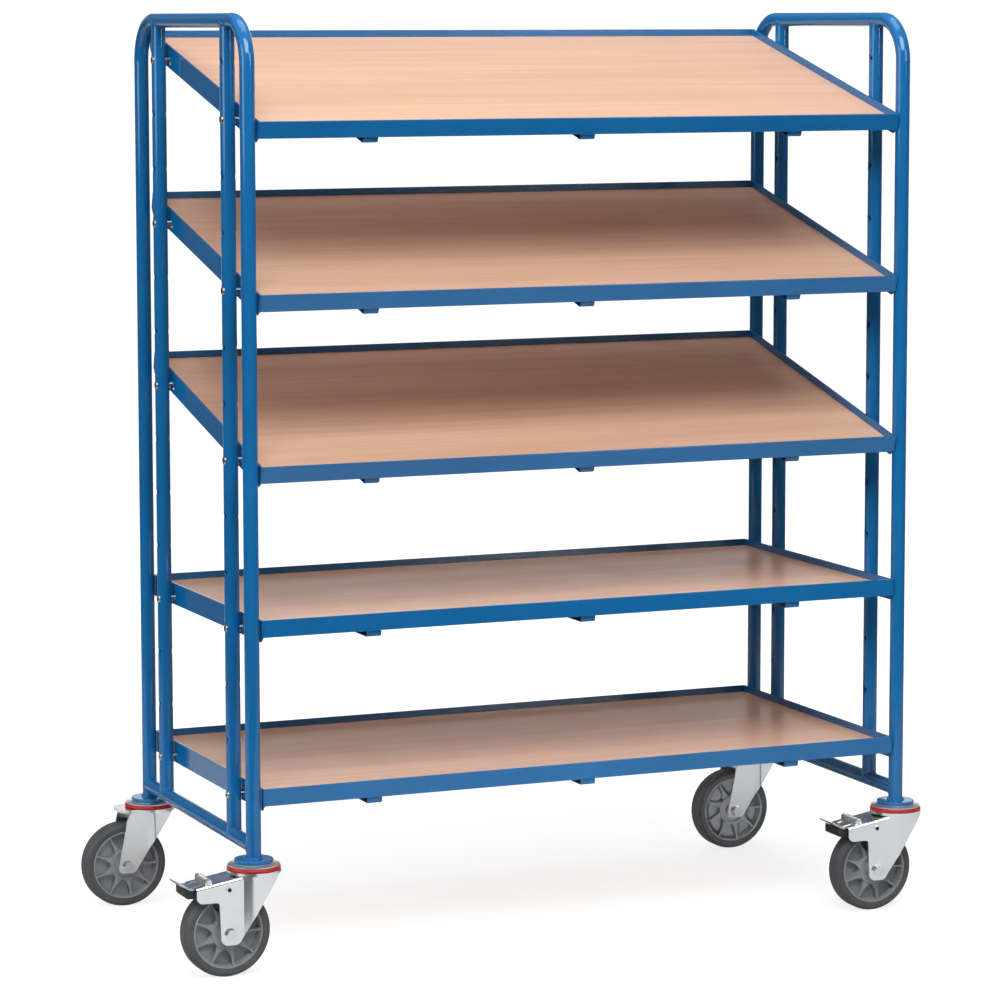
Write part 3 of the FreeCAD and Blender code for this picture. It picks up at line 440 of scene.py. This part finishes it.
# pedal return springs, wound on the pedals' barrels
for j in frame["record"]["behaviour"]["joints"]:
    if not j["name"].endswith("_pedal_press"):
        continue
    hub = Vector(j["pos_m"])
    coil = bmesh.new()
    turns, steps, reach = 17, 20, 21.5
    path = []
    for i in range(turns * steps + 1):
        q = 2.0 * math.pi * i / steps
        y = -reach + 2.0 * reach * i / (turns * steps)
        path.append(hub + Vector((5.75 * math.cos(q), y, 5.75 * math.sin(q))) * MM)
    sweep(coil, path, [0.75 * MM] * len(path), 8)
    as_piece(coil, j["child"] + "_spring", ZINC_SPRING, j["child"])

# -------------------------------------------------------------- studio, camera


def stage_floor(name, wide, near, far, rise, sunk, tint, glow, notch=None):
    """Plain pale floor; with a rise it bends up far behind, with a notch it
    leaves out its front left corner."""
    bm = bmesh.new()
    line = [(near, 0.0), (far, 0.0)]
    if rise:
        for i in range(1, 13):
            a = math.radians(90.0 * i / 12)
            line.append((far + 5.0 * math.sin(a), 5.0 - 5.0 * math.cos(a)))
        line.append((far + 5.0, rise))
    rows = []
    if notch:
        nx, ny = notch
        outline = [(nx, near), (wide, near), (wide, far), (-wide, far), (-wide, ny), (nx, ny)]
        bm.faces.new([bm.verts.new((x, y, -sunk)) for x, y in outline])
        line = []
    for y, z in line:
        rows.append([bm.verts.new((x, y, z - sunk)) for x in (-wide, wide)])
    for a, b in zip(rows, rows[1:]):
        f = bm.faces.new((a[0], a[1], b[1], b[0]))
        f.smooth = True
    me = bpy.data.meshes.new(name)
    bm.to_mesh(me)
    bm.free()
    obj = bpy.data.objects.new(name, me)
    bpy.context.scene.collection.objects.link(obj)
    m = Look(name + "_white")
    m.put("Base Color", m.ramp(m.noise(0.8, 2.0), [(0.3, tint), (0.7, tint + 0.02)]))
    m.put("Roughness", 0.95)
    m.put("Specular IOR Level", 0.0)
    m.put("Emission Color", (1.0, 1.0, 1.0, 1.0))
    if glow:
        away = m.new("ShaderNodeVectorMath")
        away.operation = "LENGTH"
        m.join(m.point, away.inputs[0])
        m.put("Emission Strength", m.span(away.outputs["Value"], glow[0], glow[1], 0.9, 2.4))
    dress(obj, m.mat)
    return obj


# the floor in view, and the smaller sheet of it that throws light back up
seen_floor = stage_floor("studio_floor", 16.0, -16.0, 12.0, 16.0, 0.0002, 0.40, (0.79, 0.97))
seen_floor.visible_diffuse = False
seen_floor.visible_glossy = False
seen_floor.visible_shadow = False
bounce_floor = stage_floor("studio_bounce", 3.2, -2.2, 3.0, 0.0, 0.004, 0.64, None, (-0.70, -0.74))
bounce_floor.visible_camera = False
bounce_floor.visible_shadow = False


def soft_box(name, at, aim, wide, high, watts, colour=(1.0, 1.0, 1.0)):
    light = bpy.data.lights.new(name, "AREA")
    light.shape = "RECTANGLE"
    light.size, light.size_y = wide, high
    light.energy = watts
    light.color = colour
    obj = bpy.data.objects.new(name, light)
    bpy.context.scene.collection.objects.link(obj)
    obj.location = at
    obj.rotation_euler = (Vector(aim) - Vector(at)).to_track_quat("-Z", "Y").to_euler()
    return obj


soft_box("main_high_front", (-0.9, -3.6, 4.5), (0.0, 0.0, 0.8), 4.0, 2.6, 244.0)
soft_box("top_sheet", (0.0, 0.2, 5.4), (0.0, 0.0, 0.0), 4.0, 2.6, 75.0)
soft_box("left_panel", (-5.2, -0.9, 2.4), (0.0, 0.0, 0.9), 2.4, 2.4, 60.0)
strip = soft_box("right_strip", (2.7, -5.4, 2.8), (0.3, 0.0, 1.3), 0.7, 2.5, 75.0)
strip.visible_diffuse = False
for word, at, aim, watts, wide in (
        ("low_left", (-2.7, -4.5, 0.32), (-0.74, 0.3, 0.10), 0.14, 11.0),
        ("low_right", (-3.2, -4.2, 0.20), (0.59, 0.3, 0.07), 0.25, 5.0)):
    low_box = soft_box(word, at, aim, 0.3, 0.16, watts)
    low_box.data.spread = math.radians(wide)
    low_box.visible_glossy = False

# soft studio surround: bright sheets high in front and to the left, a pale
# wall low behind, pale floor below, dimmer to the right and level in front
world = bpy.data.worlds.new("studio_air")
bpy.context.scene.world = world
world.use_nodes = True
tree = world.node_tree
back = tree.nodes["Background"]


def air(kind, **props):
    n = tree.nodes.new(kind)
    for k, v in props.items():
        setattr(n, k, v)
    return n


def air_math(op, a, b):
    n = air("ShaderNodeMath", operation=op)
    for socket, value in zip(n.inputs, (a, b)):
        if hasattr(value, "is_linked"):
            tree.links.new(value, socket)
        else:
            socket.default_value = value
    return n.outputs[0]


def air_step(value, low, high, out_low=0.0, out_high=1.0):
    n = air("ShaderNodeMapRange", interpolation_type="SMOOTHSTEP")
    tree.links.new(value, n.inputs["Value"])
    for word, q in (("From Min", low), ("From Max", high), ("To Min", out_low), ("To Max", out_high)):
        n.inputs[word].default_value = q
    return n.outputs["Result"]


way = air("ShaderNodeSeparateXYZ")
tree.links.new(air("ShaderNodeTexCoord").outputs["Generated"], way.inputs[0])
wx, wy, wz = way.outputs
wall = air_math("MULTIPLY", air_math("MULTIPLY", air_step(wy, 0.3, 0.8, 0.0, 1.35), air_step(wx, -0.36, 0.18, 0.0, 1.0)), air_step(wz, 0.30, 0.15))
left = air_math("MULTIPLY", air_step(wx, -0.35, -0.95, 0.0, 0.25), air_step(wz, -0.05, 0.15))
over = air_step(wz, 0.2, 0.7, 0.0, 0.22)
total = air_math("ADD", air_math("ADD", 0.08, wall), air_math("ADD", left, over))
tree.links.new(total, back.inputs["Strength"])
back.inputs["Color"].default_value = (1.0, 1.0, 1.0, 1.0)
seen = air("ShaderNodeBackground")
seen.inputs["Color"].default_value = (1.0, 1.0, 1.0, 1.0)
seen.inputs["Strength"].default_value = 1.0
choose = air("ShaderNodeMixShader")
tree.links.new(air("ShaderNodeLightPath").outputs["Is Camera Ray"], choose.inputs["Fac"])
tree.links.new(back.outputs[0], choose.inputs[1])
tree.links.new(seen.outputs[0], choose.inputs[2])
tree.links.new(choose.outputs[0], tree.nodes["World Output"].inputs["Surface"])

AZ, PITCH, ROLL, FOCAL = 0.40338297, -0.11225356, -0.00118333, 3822.045
eye = Vector((-2838.907 + (end_x["left"] + end_x["right"]) / 2.0, -6549.475, 1674.042)) * MM
ahead = Vector((math.sin(AZ) * math.cos(PITCH), math.cos(AZ) * math.cos(PITCH), math.sin(PITCH)))
side = Vector((math.cos(AZ), -math.sin(AZ), 0.0))
over = side.cross(ahead)
side_r = side * math.cos(ROLL) + over * math.sin(ROLL)
over_r = over * math.cos(ROLL) - side * math.sin(ROLL)
lens = bpy.data.cameras.new("photo_camera")
lens.sensor_fit = "HORIZONTAL"
lens.sensor_width = 36.0
lens.lens = FOCAL * 36.0 / 1000.0
lens.shift_y = -0.05
lens.clip_start, lens.clip_end = 0.05, 200.0
camera = bpy.data.objects.new("photo_camera", lens)
bpy.context.scene.collection.objects.link(camera)
camera.matrix_world = Matrix((
    (side_r.x, over_r.x, -ahead.x, eye.x),
    (side_r.y, over_r.y, -ahead.y, eye.y),
    (side_r.z, over_r.z, -ahead.z, eye.z),
    (0.0, 0.0, 0.0, 1.0)))
bpy.context.scene.camera = camera

tone = bpy.context.scene.view_settings
tone.view_transform = "Standard"
tone.look = "None"
tone.exposure = 0.0
